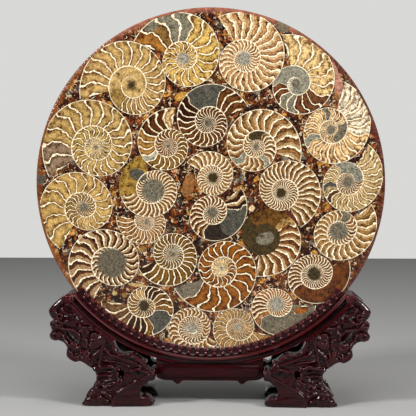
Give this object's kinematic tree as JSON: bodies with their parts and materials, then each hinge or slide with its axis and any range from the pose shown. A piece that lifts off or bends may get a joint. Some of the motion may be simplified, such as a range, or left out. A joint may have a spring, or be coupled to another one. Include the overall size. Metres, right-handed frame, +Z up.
{
  "type": "fossil ammonite plate on a stand",
  "caption": "Round polished slab of cut ammonite fossils in dark red-brown matrix, standing upright in the groove of a carved dark-red lacquered dragon stand.",
  "frame": {"origin": "on the floor, at the middle of the box that the plate and its stand fill", "axes": "+Z up; the slab's polished face looks towards -Y; +X to the right as the face is looked at"},
  "size_m": [0.3, 0.075, 0.3394],
  "materials": {
    "matrix": "polished",
    "ammonite_tan": "polished",
    "ammonite_gold": "polished",
    "ammonite_brown": "polished",
    "lacquer": "gloss lacquer"
  },
  "bodies": {
    "root": {"matrix_slab": "matrix", "ammonite_rim_01": "ammonite_gold", "ammonite_rim_02": "ammonite_tan", "ammonite_rim_03": "ammonite_gold", "ammonite_rim_04": "ammonite_brown", "ammonite_rim_05": "ammonite_gold", "ammonite_rim_06": "ammonite_tan", "ammonite_rim_07": "ammonite_gold", "ammonite_rim_08": "ammonite_tan", "ammonite_rim_09": "ammonite_tan", "ammonite_rim_10": "ammonite_tan", "ammonite_rim_11": "ammonite_brown", "ammonite_rim_12": "ammonite_tan", "ammonite_rim_13": "ammonite_gold", "ammonite_rim_14": "ammonite_tan", "ammonite_rim_15": "ammonite_gold", "ammonite_inner_16": "ammonite_brown", "ammonite_inner_17": "ammonite_gold", "ammonite_inner_18": "ammonite_brown", "ammonite_inner_19": "ammonite_tan", "ammonite_inner_20": "ammonite_brown", "ammonite_inner_21": "ammonite_tan", "ammonite_inner_22": "ammonite_tan", "ammonite_inner_23": "ammonite_tan", "ammonite_inner_24": "ammonite_brown", "ammonite_inner_25": "ammonite_tan", "ammonite_inner_26": "ammonite_tan", "stand_rail": "lacquer", "dragon_support_left": "lacquer", "dragon_support_right": "lacquer", "stand_apron": "lacquer"}
  },
  "joints": []
}
